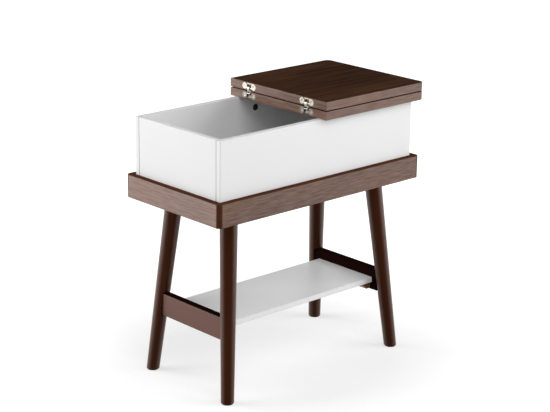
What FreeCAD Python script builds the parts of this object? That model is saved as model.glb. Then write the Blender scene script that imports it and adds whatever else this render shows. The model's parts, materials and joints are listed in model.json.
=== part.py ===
import FreeCAD, Part
import math
import os
import Sketcher
from types import SimpleNamespace

Vector = FreeCAD.Vector
Rotation = FreeCAD.Rotation

# The table stands on the floor with its length along X and its front towards -Y.
# Each row is an alias, a length in millimetres and its meaning.
SIZES = [
    ("leaf_overhang", 8, "leaf past the tray's end"),
    ("table_width", 300, "tray and leaves from front to rear"),
    ("leaf_thickness", 18, "leaf board"),
    ("leaf_corner_radius", 12, "radius of a leaf's outer corners"),
    ("meeting_gap", 2, "between the leaves when they lie flat"),
    ("fold_gap", 2.5, "between the leaves when one is folded over"),
    ("box_height", 153, "panels of the storage box"),
    ("panel_thickness", 12, "box panels"),
    ("box_clearance", 0.2, "play between box and tray rails"),
    ("tray_length", 580, "tray from end to end"),
    ("tray_underside_height", 395, "floor to the underside of the rails"),
    ("rail_height", 50, "tray rails"),
    ("rail_thickness", 15, "tray rails"),
    ("tray_corner_radius", 10, "radius of the tray's outer corners"),
    ("base_thickness", 12, "base panel under the box"),
    ("base_recess_depth", 10, "underside of the rails to the base panel"),
    ("head_end_inset", 80.5, "tray's end to a leg's head"),
    ("head_side_inset", 63.5, "tray's side to a leg's head"),
    ("foot_end_offset", 35, "splay of a leg along the length"),
    ("foot_side_offset", 37.5, "splay of a leg along the width"),
    ("foot_diameter", 28, "leg at the floor"),
    ("head_diameter", 38, "leg at the top"),
    ("foot_pad_diameter", 24, "pad under a leg"),
    ("foot_pad_thickness", 2.5, "pad under a leg"),
    ("plate_width", 60, "leg plate"),
    ("plate_thickness", 2.5, "leg plate"),
    ("plate_corner_radius", 8, "radius of a leg plate's corners"),
    ("plate_screw_spacing", 44, "screws of a leg plate"),
    ("hub_diameter", 30, "threaded hub under a leg plate"),
    ("hub_height", 6, "threaded hub under a leg plate"),
    ("hanger_diameter", 8, "hanger bolt in a leg's head"),
    ("hanger_depth", 40, "length of a hanger bolt inside the leg"),
    ("stretcher_top_height", 180, "floor to the top of a stretcher"),
    ("stretcher_height", 50, "stretcher board"),
    ("stretcher_thickness", 18, "stretcher board"),
    ("stretcher_edge_radius", 1.5, "radius along a stretcher's edges"),
    ("notch_seat_offset", 7, "leg axis to the flat of its notch"),
    ("notch_clearance", 0.2, "play of a stretcher in the notches"),
    ("notch_head_clearance", 3.5, "notch above the stretcher"),
    ("notch_foot_clearance", 1, "notch below the stretcher"),
    ("stretcher_dowel_diameter", 8, "dowels of the stretchers"),
    ("stretcher_dowel_spacing", 24, "dowels of the stretchers"),
    ("stretcher_dowel_depth", 20, "dowels of the stretchers"),
    ("leg_dowel_depth", 14, "stretcher's end to the dowel's end in the leg"),
    ("shelf_drop_depth", 20.5, "top of a stretcher to the top of the shelf"),
    ("shelf_thickness", 12, "shelf board"),
    ("shelf_side_inset", 14.74, "stretcher's end to the shelf's side"),
    ("shelf_clearance", 0.2, "play between shelf and stretcher"),
    ("cleat_width", 27, "cleat along the shelf"),
    ("cleat_foot_width", 12, "cleat at its lower edge"),
    ("cleat_height", 15, "cleat under the shelf"),
    ("cleat_end_inset", 5, "shelf's side to a cleat's end"),
    ("cleat_dowel_inset", 25, "cleat's end to its dowel"),
    ("shelf_screw_spacing", 50, "screws of a cleat into the shelf"),
    ("small_dowel_diameter", 6, "dowels of rails and cleats"),
    ("small_dowel_depth", 10, "half the length of those dowels"),
    ("rail_dowel_end_inset", 110, "tray's end to the dowels of a long rail"),
    ("rail_dowel_side_inset", 70, "tray's side to the dowels of a short rail"),
    ("corner_dowel_diameter", 6, "dowels in the box corners"),
    ("corner_dowel_height", 40, "base panel to the corner dowel"),
    ("corner_dowel_wall_depth", 8, "corner dowel inside a long panel"),
    ("corner_dowel_end_depth", 20, "corner dowel inside an end panel"),
    ("dowel_clearance", 0.1, "dowels in their holes"),
    ("dowel_end_clearance", 0.5, "beyond the end of a dowel or bolt"),
    ("cam_diameter", 15, "cam lock"),
    ("cam_depth", 10, "cam lock"),
    ("cam_inset", 30, "joint to the cam lock's axis"),
    ("cam_socket_diameter", 5, "key socket across a cam lock's face"),
    ("cam_socket_depth", 2.5, "key socket"),
    ("cam_clearance", 0.1, "cam lock in its hole"),
    ("cam_bolt_diameter", 5, "cam bolt"),
    ("cam_bolt_depth", 9, "thread of a cam bolt"),
    ("cam_head_diameter", 6.4, "head of a cam bolt"),
    ("cam_head_length", 5, "head of a cam bolt"),
    ("cam_head_clearance", 0.4, "around the head of a cam bolt"),
    ("leaf_cam_hinge_inset", 50, "hinge line to the nearer leaf cams"),
    ("leaf_cam_end_inset", 34.8, "box's end to the farther leaf cams"),
    ("corner_cam_height", 100, "base panel to the corner cams"),
    ("screw_diameter", 4, "wood screws"),
    ("screw_head_diameter", 8, "wood screws"),
    ("screw_head_height", 2.5, "wood screws"),
    ("screw_clearance", 0.1, "wood screws in their holes"),
    ("board_screw_depth", 9, "screw inside a base panel or shelf"),
    ("wall_screw_depth", 25, "screw inside a box wall"),
    ("box_screw_spacing", 180, "inner pair of box screws"),
    ("box_screw_end_inset", 29.8, "box's end to the outer box screws"),
    ("hinge_inset", 60, "leaf's side to a hinge's middle"),
    ("lobe_diameter", 14, "round ends of a hinge half"),
    ("lobe_spacing", 28, "round ends of a hinge half"),
    ("lobe_depth", 3, "round ends of a hinge half"),
    ("hinge_block_width", 19, "body of a hinge half"),
    ("hinge_block_height", 14, "body of a hinge half"),
    ("hinge_block_depth", 12, "body of a hinge half"),
    ("hinge_block_setback", 1.2, "face of the round ends to the face of the body"),
    ("mortise_clearance", 0.15, "hinge half in its mortise"),
    ("pivot_inset", 2.4, "hinge line to a pivot, into the leaf"),
    ("pivot_offset", 6, "hinge line to a pivot, off the fold"),
    ("link_eye_diameter", 6, "width of a link and its eyes"),
    ("link_clearance", 0.4, "between a link and the slot's walls"),
    ("link_side_clearance", 0.8, "beside and between the links"),
    ("fixed_link_thickness", 3.5, "link pinned in the fixed half"),
    ("flip_link_thickness", 7.4, "link pinned in the flip half"),
    ("pin_diameter", 2, "hinge pins"),
    ("pin_clearance", 0.05, "hinge pins in their holes"),
    ("hinge_screw_diameter", 3.5, "hinge screws"),
    ("hinge_screw_head_diameter", 6.8, "hinge screws"),
    ("hinge_screw_length", 16, "hinge screws"),
    ("hinge_hole_diameter", 3.8, "screw hole in a hinge half"),
    ("hinge_sink_diameter", 8, "countersink in a hinge half"),
    ("overrun", 5, "cutters past the surface they cut"),
]

SIDES = (("front", -1), ("rear", 1))
ENDS = (("left", -1), ("right", 1))
UP = Rotation()
DOWN = Rotation(Vector(1, 0, 0), 180)
REARWARD = Rotation(Vector(1, 0, 0), -90)
FORWARD = Rotation(Vector(1, 0, 0), 90)
diagonal_share = math.sqrt(0.5)
SAME = 1e-6

doc = FreeCAD.newDocument("FlipTopEndTable")
nodes = {}


class Size:
    """A length that carries its number and the sheet formula behind it."""

    def __init__(self, number, formula):
        self.number = number
        self.formula = formula

    def __add__(self, other):
        other = as_size(other)
        return Size(self.number + other.number, f"({self.formula} + {other.formula})")

    def __sub__(self, other):
        other = as_size(other)
        return Size(self.number - other.number, f"({self.formula} - {other.formula})")

    def __mul__(self, other):
        other = as_size(other)
        return Size(self.number * other.number, f"({self.formula} * {other.formula})")

    def __truediv__(self, other):
        other = as_size(other)
        return Size(self.number / other.number, f"({self.formula} / {other.formula})")

    def __neg__(self):
        return Size(-self.number, f"(-{self.formula})")

    __rmul__ = __mul__
    __radd__ = __add__


def as_size(value):
    return value if isinstance(value, Size) else Size(float(value), repr(float(value)))


def root(size):
    return Size(math.sqrt(size.number), f"sqrt({size.formula})")


def number(value):
    return as_size(value).number


def write_sheet():
    sheet = doc.addObject("Spreadsheet::Sheet", "Dimensions")
    for row, (alias, value, meaning) in enumerate(SIZES, 1):
        sheet.set(f"A{row}", meaning)
        sheet.set(f"B{row}", str(value))
        sheet.setAlias(f"B{row}", alias)
    doc.recompute()
    names = [alias for alias, value, meaning in SIZES]
    return SimpleNamespace(**{name: Size(float(sheet.get(name)), "Dimensions." + name) for name in names})


def bind(item, prop, size):
    item.setExpression(prop, as_size(size).formula)


def put(item, x=0, y=0, z=0, turn=UP):
    """Stands an item at a place that follows the sheet."""
    item.Placement = FreeCAD.Placement(Vector(number(x), number(y), number(z)), turn)
    for axis, size in zip("xyz", (x, y, z)):
        if isinstance(size, Size):
            bind(item, "Placement.Base." + axis, size)
    return item


def keep(label, item):
    item.Label = label
    nodes[label] = item
    return item


def block(length, width, height, x=0, y=0, z=0):
    item = doc.addObject("Part::Box", "Block")
    bind(item, "Length", length)
    bind(item, "Width", width)
    bind(item, "Height", height)
    return put(item, x, y, z)


def rod(diameter, length, x, y, z, turn=UP):
    item = doc.addObject("Part::Cylinder", "Rod")
    bind(item, "Radius", diameter / 2)
    bind(item, "Height", length)
    return put(item, x, y, z, turn)


def cut(solid, tools):
    tool = tools[0]
    if len(tools) > 1:
        tool = doc.addObject("Part::MultiFuse", "Cutters")
        tool.Shapes = tools
    item = doc.addObject("Part::Cut", "Worked")
    item.Base = solid
    item.Tool = tool
    return item


def new_body(label):
    return keep(label, doc.addObject("PartDesign::Body", label))


def new_sketch(body, name, plane, lift):
    sketch = body.newObject("Sketcher::SketchObject", name)
    origin_plane = [item for item in body.Origin.OriginFeatures if item.Role == plane][0]
    sketch.AttachmentSupport = (origin_plane, [""])
    sketch.MapMode = "FlatFace"
    if isinstance(lift, Size):
        bind(sketch, "AttachmentOffset.Base.z", lift)
    return sketch


def fix_point(sketch, index, end, x, y):
    """Ties a point of the sketch to its distances from the origin."""
    for kind, axis, size in (("DistanceX", -2, x), ("DistanceY", -1, y)):
        if isinstance(size, Size):
            row = sketch.addConstraint(Sketcher.Constraint(kind, -1, 1, index, end, size.number))
            bind(sketch, f"Constraints[{row}]", size)
        else:
            sketch.addConstraint(Sketcher.Constraint("PointOnObject", index, end, axis))


def outline(body, name, plane, corners, lift=0):
    """A closed outline run anticlockwise. A corner with a third entry, a centre and
    a radius, is reached by an arc."""
    sketch = new_sketch(body, name, plane, lift)
    points = [Vector(number(corner[0]), number(corner[1]), 0) for corner in corners]
    for index, corner in enumerate(corners):
        start, end = points[index - 1], points[index]
        if len(corner) == 3:
            x, y, radius = corner[2]
            middle = Vector(number(x), number(y), 0)
            angles = [math.atan2(p.y - middle.y, p.x - middle.x) for p in (start, end)]
            circle = Part.Circle(middle, Vector(0, 0, 1), radius.number)
            sketch.addGeometry(Part.ArcOfCircle(circle, *angles))
        else:
            sketch.addGeometry(Part.LineSegment(start, end))
    for index, corner in enumerate(corners):
        following = (index + 1) % len(corners)
        sketch.addConstraint(Sketcher.Constraint("Coincident", index, 2, following, 1))
        fix_point(sketch, index, 2, corner[0], corner[1])
        if len(corner) == 3:
            radius = corner[2][2]
            row = sketch.addConstraint(Sketcher.Constraint("Radius", index, radius.number))
            bind(sketch, f"Constraints[{row}]", radius)
    return sketch


def rectangle(body, name, plane, left, low, right, high, lift=0):
    corners = [(left, low), (right, low), (right, high), (left, high)]
    return outline(body, name, plane, corners, lift)


def circles(body, name, plane, centres, diameter, lift=0):
    sketch = new_sketch(body, name, plane, lift)
    for index, (x, y) in enumerate(centres):
        middle = Vector(number(x), number(y), 0)
        sketch.addGeometry(Part.Circle(middle, Vector(0, 0, 1), (diameter / 2).number))
        fix_point(sketch, index, 3, x, y)
        row = sketch.addConstraint(Sketcher.Constraint("Diameter", index, diameter.number))
        bind(sketch, f"Constraints[{row}]", diameter)
    return sketch


def extrude(kind, sketch, length, reverse=False, both_ways=False, taper=0):
    body = sketch.getParentGeoFeatureGroup()
    item = body.newObject("PartDesign::" + kind, kind)
    item.Profile = sketch
    bind(item, "Length", length)
    item.Reversed = reverse
    item.SideType = "Symmetric" if both_ways else "One side"
    item.TaperAngle = taper
    body.Tip = item
    return item


def pad(sketch, length, **options):
    return extrude("Pad", sketch, length, **options)


def pocket(sketch, depth, **options):
    return extrude("Pocket", sketch, depth, **options)


def soften(kind, feature, prop, size, wanted):
    """Rounds or bevels the edges of a feature that pass a test."""
    doc.recompute()
    body = feature.getParentGeoFeatureGroup()
    names = [f"Edge{row}" for row, edge in enumerate(feature.Shape.Edges, 1) if wanted(edge)]
    item = body.newObject("PartDesign::" + kind, kind)
    item.Base = (feature, names)
    bind(item, prop, size)
    body.Tip = item
    return item


def runs_along(edge, direction):
    ends = [vertex.Point for vertex in edge.Vertexes]
    return len(ends) == 2 and (ends[1] - ends[0]).normalize().isEqual(direction, SAME)


def lies_along(edge, direction):
    return runs_along(edge, direction) or runs_along(edge, -direction)


d = write_sheet()

# Heights
base_underside = d.tray_underside_height + d.base_recess_depth
base_top = base_underside + d.base_thickness
box_top = base_top + d.box_height
hinge_height = box_top + d.leaf_thickness + d.fold_gap / 2
leg_top = base_underside - d.plate_thickness - d.hub_height
stretcher_middle = d.stretcher_top_height - d.stretcher_height / 2
shelf_top = d.stretcher_top_height - d.shelf_drop_depth
shelf_underside = shelf_top - d.shelf_thickness

# Box and base panel fill the tray's inside, and the leaves cover the tray
leaf_reach = d.tray_length / 2 + d.leaf_overhang
box_length = d.tray_length - 2 * d.rail_thickness - 2 * d.box_clearance
box_width = d.table_width - 2 * d.rail_thickness - 2 * d.box_clearance
panel_middle_x = box_length / 2 - d.panel_thickness / 2
panel_middle_y = box_width / 2 - d.panel_thickness / 2

# Leaning legs, with their heads set in from the tray's edges
head_x = d.tray_length / 2 - d.head_end_inset
head_y = d.table_width / 2 - d.head_side_inset
lean_x = d.foot_end_offset
lean_y = d.foot_side_offset
foot_x = head_x + lean_x
foot_y = head_y + lean_y
leg_length = root(lean_x * lean_x + lean_y * lean_y + leg_top * leg_top)
leg_taper_share = (d.head_diameter - d.foot_diameter) / leg_length
rise_share = leg_length / leg_top
lean_y_share = lean_y / leg_top

# Stretchers run from notch to notch, with their upper edge on the leg axes
stretcher_x = foot_x - lean_x * d.stretcher_top_height / leg_top
stretcher_face = stretcher_x - d.stretcher_thickness / 2
axis_y_at_top = foot_y - lean_y_share * d.stretcher_top_height
notch_slope_share = root(lean_y_share * lean_y_share + 1)
stretcher_reach = axis_y_at_top - d.notch_seat_offset * notch_slope_share - d.notch_clearance
shelf_width = 2 * (stretcher_reach - d.shelf_side_inset)
cleat_length = shelf_width - 2 * d.cleat_end_inset
cleat_dowel_place = cleat_length / 2 - d.cleat_dowel_inset
shelf_screw_place = d.shelf_screw_spacing / 2
stretcher_dowel_heights = [
    stretcher_middle - d.stretcher_dowel_spacing / 2,
    stretcher_middle + d.stretcher_dowel_spacing / 2,
]

# Hinges, seen from the hinge line, into the fixed leaf and down
hinge_y = d.table_width / 2 - d.hinge_inset
leaf_edge = d.meeting_gap / 2
leaf_upper = -d.fold_gap / 2
leaf_middle = leaf_upper - d.leaf_thickness / 2
leaf_lower = leaf_upper - d.leaf_thickness
link_length = root(d.pivot_inset * d.pivot_inset + d.pivot_offset * d.pivot_offset)
link_clear = d.link_eye_diameter / 2 + d.link_clearance
slot_width = d.fixed_link_thickness + d.flip_link_thickness + 3 * d.link_side_clearance
slot_floor = -(2 * d.pivot_offset + link_clear)
slot_top_reach = 2 * d.pivot_inset + link_clear * link_length / d.pivot_offset
slot_floor_reach = slot_top_reach + slot_floor * d.pivot_inset / d.pivot_offset
pin_hole = d.pin_diameter + 2 * d.pin_clearance
screw_seat_depth = (d.hinge_sink_diameter - d.hinge_screw_head_diameter) / 2 - d.screw_clearance
lobe_places = (-d.lobe_spacing / 2, d.lobe_spacing / 2)

# Fasteners
screw_hole = d.screw_diameter + 2 * d.screw_clearance
hinge_pilot = d.hinge_screw_diameter + 2 * d.screw_clearance
small_dowel_hole = d.small_dowel_diameter + 2 * d.dowel_clearance
small_dowel_drill = d.small_dowel_depth + d.dowel_end_clearance
stretcher_dowel_hole = d.stretcher_dowel_diameter + 2 * d.dowel_clearance
corner_dowel_hole = d.corner_dowel_diameter + 2 * d.dowel_clearance
cam_hole = d.cam_diameter + 2 * d.cam_clearance
cam_hole_depth = d.cam_depth + d.cam_clearance
cam_bolt_hole = d.cam_bolt_diameter + 2 * d.cam_clearance
cam_bolt_drill = d.cam_bolt_depth + d.dowel_end_clearance
cam_channel = d.cam_head_diameter + 2 * d.cam_head_clearance
hanger_hole = d.hanger_diameter + 2 * d.dowel_clearance
plate_screw_places = [(sx * d.plate_screw_spacing / 2, sy * d.plate_screw_spacing / 2)
                      for sx in (-1, 1) for sy in (-1, 1)]
rail_dowel_long = d.tray_length / 2 - d.rail_dowel_end_inset
rail_dowel_short = d.table_width / 2 - d.rail_dowel_side_inset
box_screw_near = d.box_screw_spacing / 2
box_screw_far = box_length / 2 - d.box_screw_end_inset
leaf_cam_far = box_length / 2 - d.leaf_cam_end_inset
box_screw_places = [-box_screw_far, -box_screw_near, box_screw_near, box_screw_far]
leaf_cam_places = [d.leaf_cam_hinge_inset, leaf_cam_far]


def leaf(label, turn, cam_bolts):
    """A top leaf with its hinge mortises, drawn in its fixed position about the hinge line."""
    body = new_body(label)
    board = pad(rectangle(body, "Board", "XY_Plane", leaf_edge, -d.table_width / 2,
                          leaf_reach, d.table_width / 2, leaf_lower), d.leaf_thickness)
    far = leaf_reach.number
    soften("Fillet", board, "Radius", d.leaf_corner_radius,
           lambda edge: lies_along(edge, Vector(0, 0, 1)) and abs(edge.CenterOfMass.x - far) < SAME)
    for side, sign in SIDES:
        middle = sign * hinge_y
        lobes = [(middle + place, leaf_middle) for place in lobe_places]
        half_width = d.hinge_block_width / 2 + d.mortise_clearance
        half_height = d.hinge_block_height / 2 + d.mortise_clearance
        half_slot = slot_width / 2 + d.mortise_clearance
        seat = d.lobe_diameter + 2 * d.mortise_clearance
        seats = circles(body, "LobeSeats", "YZ_Plane", lobes, seat, leaf_edge)
        pocket(seats, d.lobe_depth, reverse=True)
        mortise = rectangle(body, "Mortise", "YZ_Plane", middle - half_width, leaf_middle - half_height,
                            middle + half_width, leaf_middle + half_height, leaf_edge)
        pocket(mortise, d.hinge_block_depth + d.mortise_clearance, reverse=True)
        slot = rectangle(body, "Slot", "XY_Plane", leaf_edge, middle - half_slot,
                         slot_top_reach + d.mortise_clearance, middle + half_slot, leaf_upper)
        pocket(slot, d.leaf_thickness / 2)
        pilots = circles(body, "Pilots", "YZ_Plane", lobes, hinge_pilot, leaf_edge)
        pocket(pilots, screw_seat_depth + d.hinge_screw_length + d.dowel_end_clearance, reverse=True)
    if cam_bolts:
        places = [(x, sign * panel_middle_y) for x in leaf_cam_places for side, sign in SIDES]
        pocket(circles(body, "CamBolts", "XY_Plane", places, cam_bolt_hole, leaf_lower),
               cam_bolt_drill, reverse=True)
    put(body, z=hinge_height, turn=turn)


def hinge_half(label, y, turn):
    """A cast half: two round ends and, set back between them, a slotted body with a pivot pin."""
    body = new_body(label)
    block_face = rectangle(body, "BodyFace", "YZ_Plane",
                           -d.hinge_block_width / 2, leaf_middle - d.hinge_block_height / 2,
                           d.hinge_block_width / 2, leaf_middle + d.hinge_block_height / 2,
                           leaf_edge + d.hinge_block_setback)
    pad(block_face, d.hinge_block_depth - d.hinge_block_setback)
    lobes = [(place, leaf_middle) for place in lobe_places]
    pad(circles(body, "Lobes", "YZ_Plane", lobes, d.lobe_diameter, leaf_edge), d.lobe_depth)
    holes = pocket(circles(body, "ScrewHoles", "YZ_Plane", lobes, d.hinge_hole_diameter, leaf_edge),
                   d.lobe_depth + d.overrun, reverse=True)
    face = leaf_edge.number
    rim = math.pi * d.hinge_hole_diameter.number
    soften("Chamfer", holes, "Size", (d.hinge_sink_diameter - d.hinge_hole_diameter) / 2,
           lambda edge: abs(edge.CenterOfMass.x - face) < SAME and abs(edge.Length - rim) < SAME)
    slot = [(leaf_edge - d.overrun, slot_floor), (slot_floor_reach, slot_floor), (slot_top_reach, 0),
            (leaf_edge - d.overrun, 0)]
    pocket(outline(body, "LinkSlot", "XZ_Plane", slot), slot_width, both_ways=True)
    pivot = [(d.pivot_inset, -d.pivot_offset)]
    pocket(circles(body, "PinHole", "XZ_Plane", pivot, pin_hole), 2 * d.hinge_block_width, both_ways=True)
    put(body, y=y, z=hinge_height, turn=turn)


def hinge_link(label, width, y, rise):
    """A flat bar between two eyes, pinned in one half; the far eye takes the centre pin."""
    body = new_body(label)
    eyes = [(0, 0), (link_length, 0)]
    half = d.link_eye_diameter / 2
    pad(rectangle(body, "Bar", "XZ_Plane", 0, -half, link_length, half), width, both_ways=True)
    pad(circles(body, "Eyes", "XZ_Plane", eyes, d.link_eye_diameter), width, both_ways=True)
    pocket(circles(body, "EyeHoles", "XZ_Plane", eyes, pin_hole), 2 * width, both_ways=True)
    turn = Rotation(Vector(1, 0, 0), Vector(d.pivot_inset.number, 0, -rise * d.pivot_offset.number))
    put(body, x=d.pivot_inset, y=y, z=hinge_height + rise * d.pivot_offset, turn=turn)


def hinge_pins(label, length, x, z):
    body = new_body(label)
    for side, sign in SIDES:
        place = circles(body, "PinEnd", "XZ_Plane", [(x, z)], d.pin_diameter, -sign * hinge_y)
        pad(place, length, both_ways=True)


def hinge_screws(label, z):
    body = new_body(label)
    places = [(sign * hinge_y + place, z) for side, sign in SIDES for place in lobe_places]
    head = (d.hinge_screw_head_diameter - d.hinge_screw_diameter) / 2
    seat = leaf_edge + screw_seat_depth
    heads = circles(body, "Heads", "YZ_Plane", places, d.hinge_screw_head_diameter, seat)
    pad(heads, head, taper=-45)
    shanks = circles(body, "Shanks", "YZ_Plane", places, d.hinge_screw_diameter, seat)
    pad(shanks, d.hinge_screw_length)


def hinges():
    fixed_layer = (d.fixed_link_thickness - slot_width) / 2 + d.link_side_clearance
    flip_layer = (slot_width - d.flip_link_thickness) / 2 - d.link_side_clearance
    for side, sign in SIDES:
        middle = sign * hinge_y
        hinge_half("hinge_half_fixed_" + side, middle, UP)
        hinge_half("hinge_half_flip_" + side, middle, DOWN)
        hinge_link("hinge_link_fixed_" + side, d.fixed_link_thickness, middle + fixed_layer, -1)
        hinge_link("hinge_link_flip_" + side, d.flip_link_thickness, middle + flip_layer, 1)
    hinge_pins("hinge_pins_fixed", d.hinge_block_width, d.pivot_inset, hinge_height - d.pivot_offset)
    hinge_pins("hinge_pins_flip", d.hinge_block_width, d.pivot_inset, hinge_height + d.pivot_offset)
    centre_length = slot_width - 2 * d.link_side_clearance
    hinge_pins("hinge_centre_pins", centre_length, 2 * d.pivot_inset, hinge_height)
    hinge_screws("hinge_screws_fixed", hinge_height + leaf_middle)
    hinge_screws("hinge_screws_flip", hinge_height - leaf_middle)


def long_panel(label, sign):
    """A front or rear box panel, drawn with its outer face at zero."""
    half = d.panel_thickness / 2
    start = d.panel_thickness + d.overrun
    bolt_drill = cam_bolt_drill + d.overrun
    dowel_drill = d.corner_dowel_wall_depth + d.dowel_end_clearance + d.overrun
    screw_drill = d.wall_screw_depth + d.dowel_end_clearance + d.overrun
    board = block(box_length, d.panel_thickness, d.box_height, x=-box_length / 2)
    tools = []
    for place in leaf_cam_places:
        x = -sign * place
        height = d.box_height - d.cam_inset
        tools.append(rod(cam_hole, cam_hole_depth + d.overrun, x, start, height, FORWARD))
        tools.append(rod(cam_channel, d.cam_inset + d.overrun, x, half, height))
    for end, way in ENDS:
        x = way * panel_middle_x
        tools.append(rod(cam_bolt_hole, bolt_drill, x, start, d.corner_cam_height, FORWARD))
        tools.append(rod(corner_dowel_hole, dowel_drill, x, start, d.corner_dowel_height, FORWARD))
    for x in box_screw_places:
        tools.append(rod(screw_hole, screw_drill, x, half, -d.overrun))
    turn = Rotation(Vector(0, 0, 1), 90 + 90 * sign)
    keep(label, put(cut(board, tools), y=sign * box_width / 2, z=base_top, turn=turn))


def end_panel(label, sign):
    """An end panel between the long ones, drawn with its outer face at zero."""
    length = box_width - 2 * d.panel_thickness
    half = d.panel_thickness / 2
    dowel_drill = d.corner_dowel_end_depth + d.dowel_end_clearance + d.overrun
    board = block(length, d.panel_thickness, d.box_height, x=-length / 2)
    tools = []
    for end, way in ENDS:
        edge = way * (length / 2 + d.overrun)
        inward = Rotation(Vector(0, 1, 0), -90 * way)
        tools.append(rod(cam_hole, cam_hole_depth + d.overrun, way * (length / 2 - d.cam_inset),
                         d.panel_thickness + d.overrun, d.corner_cam_height, FORWARD))
        tools.append(rod(cam_channel, d.cam_inset + d.overrun, edge, half, d.corner_cam_height, inward))
        tools.append(rod(corner_dowel_hole, dowel_drill, edge, half, d.corner_dowel_height, inward))
    turn = Rotation(Vector(0, 0, 1), 90 * sign)
    keep(label, put(cut(board, tools), x=sign * box_length / 2, z=base_top, turn=turn))


def leaf_cams():
    """Cam locks inside the long panels and the bolts that they draw down."""
    locks = new_body("leaf_cam_locks")
    height = box_top - d.cam_inset
    inner = box_width / 2 - d.panel_thickness
    places = [(x, height) for x in leaf_cam_places]
    for side, sign in SIDES:
        rear = sign > 0
        disc = circles(locks, "Discs", "XZ_Plane", places, d.cam_diameter, -sign * inner)
        pad(disc, d.cam_depth, reverse=rear)
        socket = circles(locks, "Sockets", "XZ_Plane", places, d.cam_socket_diameter, -sign * inner)
        pocket(socket, d.cam_socket_depth, reverse=not rear)
    stems = [(x, sign * panel_middle_y) for x in leaf_cam_places for side, sign in SIDES]
    low = height - d.cam_head_length / 2
    bore = circles(locks, "Bores", "XY_Plane", stems, cam_channel, low - d.cam_head_clearance)
    pocket(bore, d.cam_diameter, reverse=True)
    bolts = new_body("leaf_cam_bolts")
    pad(circles(bolts, "Heads", "XY_Plane", stems, d.cam_head_diameter, low), d.cam_head_length)
    pad(circles(bolts, "Stems", "XY_Plane", stems, d.cam_bolt_diameter, low),
        d.cam_head_length / 2 + d.cam_inset + d.cam_bolt_depth)


def corner_cams():
    """Cam locks inside the end panels, their bolts and the dowels beside them."""
    locks = new_body("corner_cam_locks")
    bolts = new_body("corner_cam_bolts")
    dowels = new_body("corner_dowels")
    height = base_top + d.corner_cam_height
    dowel_height = base_top + d.corner_dowel_height
    joint = box_width / 2 - d.panel_thickness
    inner = box_length / 2 - d.panel_thickness
    centres = [(sign * (joint - d.cam_inset), height) for side, sign in SIDES]
    for end, way in ENDS:
        disc = circles(locks, "Discs", "YZ_Plane", centres, d.cam_diameter, way * inner)
        pad(disc, d.cam_depth, reverse=way < 0)
        socket = circles(locks, "Sockets", "YZ_Plane", centres, d.cam_socket_diameter, way * inner)
        pocket(socket, d.cam_socket_depth, reverse=way > 0)
    stems = [(way * panel_middle_x, height) for end, way in ENDS]
    dowel_places = [(way * panel_middle_x, dowel_height) for end, way in ENDS]
    head_end = joint - d.cam_inset - d.cam_head_length / 2
    bore_end = head_end - d.cam_head_clearance
    for side, sign in SIDES:
        bore = circles(locks, "Bores", "XZ_Plane", stems, cam_channel, -sign * bore_end)
        pocket(bore, d.cam_diameter, reverse=sign < 0)
        head = circles(bolts, "Heads", "XZ_Plane", stems, d.cam_head_diameter, -sign * head_end)
        pad(head, d.cam_head_length, reverse=sign > 0)
        stem = circles(bolts, "Stems", "XZ_Plane", stems, d.cam_bolt_diameter, -sign * head_end)
        pad(stem, d.cam_head_length / 2 + d.cam_inset + d.cam_bolt_depth, reverse=sign > 0)
        dowel = circles(dowels, "Dowels", "XZ_Plane", dowel_places, d.corner_dowel_diameter,
                        -sign * (joint - d.corner_dowel_end_depth))
        pad(dowel, d.corner_dowel_end_depth + d.corner_dowel_wall_depth, reverse=sign > 0)


def rail(label, length, dowel_places, x, y, angle):
    """A mitred tray rail, drawn with its outer face at zero."""
    body = new_body(label)
    reach = length / 2 - d.tray_corner_radius
    tip = d.tray_corner_radius * diagonal_share
    right = (reach, d.tray_corner_radius, d.tray_corner_radius)
    left = (-reach, d.tray_corner_radius, d.tray_corner_radius)
    inner = length / 2 - d.rail_thickness
    rise = d.tray_corner_radius - tip
    corners = [(-reach, 0, left), (reach, 0), (reach + tip, rise, right), (inner, d.rail_thickness),
               (-inner, d.rail_thickness), (-reach - tip, rise)]
    pad(outline(body, "Section", "XY_Plane", corners), d.rail_height)
    middle = d.base_recess_depth + d.base_thickness / 2
    holes = circles(body, "DowelHoles", "XZ_Plane", [(place, middle) for place in dowel_places],
                    small_dowel_hole, -d.rail_thickness)
    pocket(holes, small_dowel_drill, reverse=True)
    put(body, x, y, d.tray_underside_height, Rotation(Vector(0, 0, 1), angle))


def rails():
    long_places = [-rail_dowel_long, 0, rail_dowel_long]
    short_places = [-rail_dowel_short, rail_dowel_short]
    rail("rail_front", d.tray_length, long_places, 0, -d.table_width / 2, 0)
    rail("rail_right", d.table_width, short_places, d.tray_length / 2, 0, 90)
    rail("rail_rear", d.tray_length, long_places, 0, d.table_width / 2, 180)
    rail("rail_left", d.table_width, short_places, -d.tray_length / 2, 0, -90)
    dowels = new_body("rail_dowels")
    middle = base_underside + d.base_thickness / 2
    length = 2 * d.small_dowel_depth
    start_y = box_width / 2 - d.small_dowel_depth
    start_x = box_length / 2 - d.small_dowel_depth
    for side, sign in SIDES:
        places = [(place, middle) for place in long_places]
        pad(circles(dowels, "LongDowels", "XZ_Plane", places, d.small_dowel_diameter, -sign * start_y),
            length, reverse=sign > 0)
    for end, way in ENDS:
        places = [(place, middle) for place in short_places]
        pad(circles(dowels, "ShortDowels", "YZ_Plane", places, d.small_dowel_diameter, way * start_x),
            length, reverse=way < 0)


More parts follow.
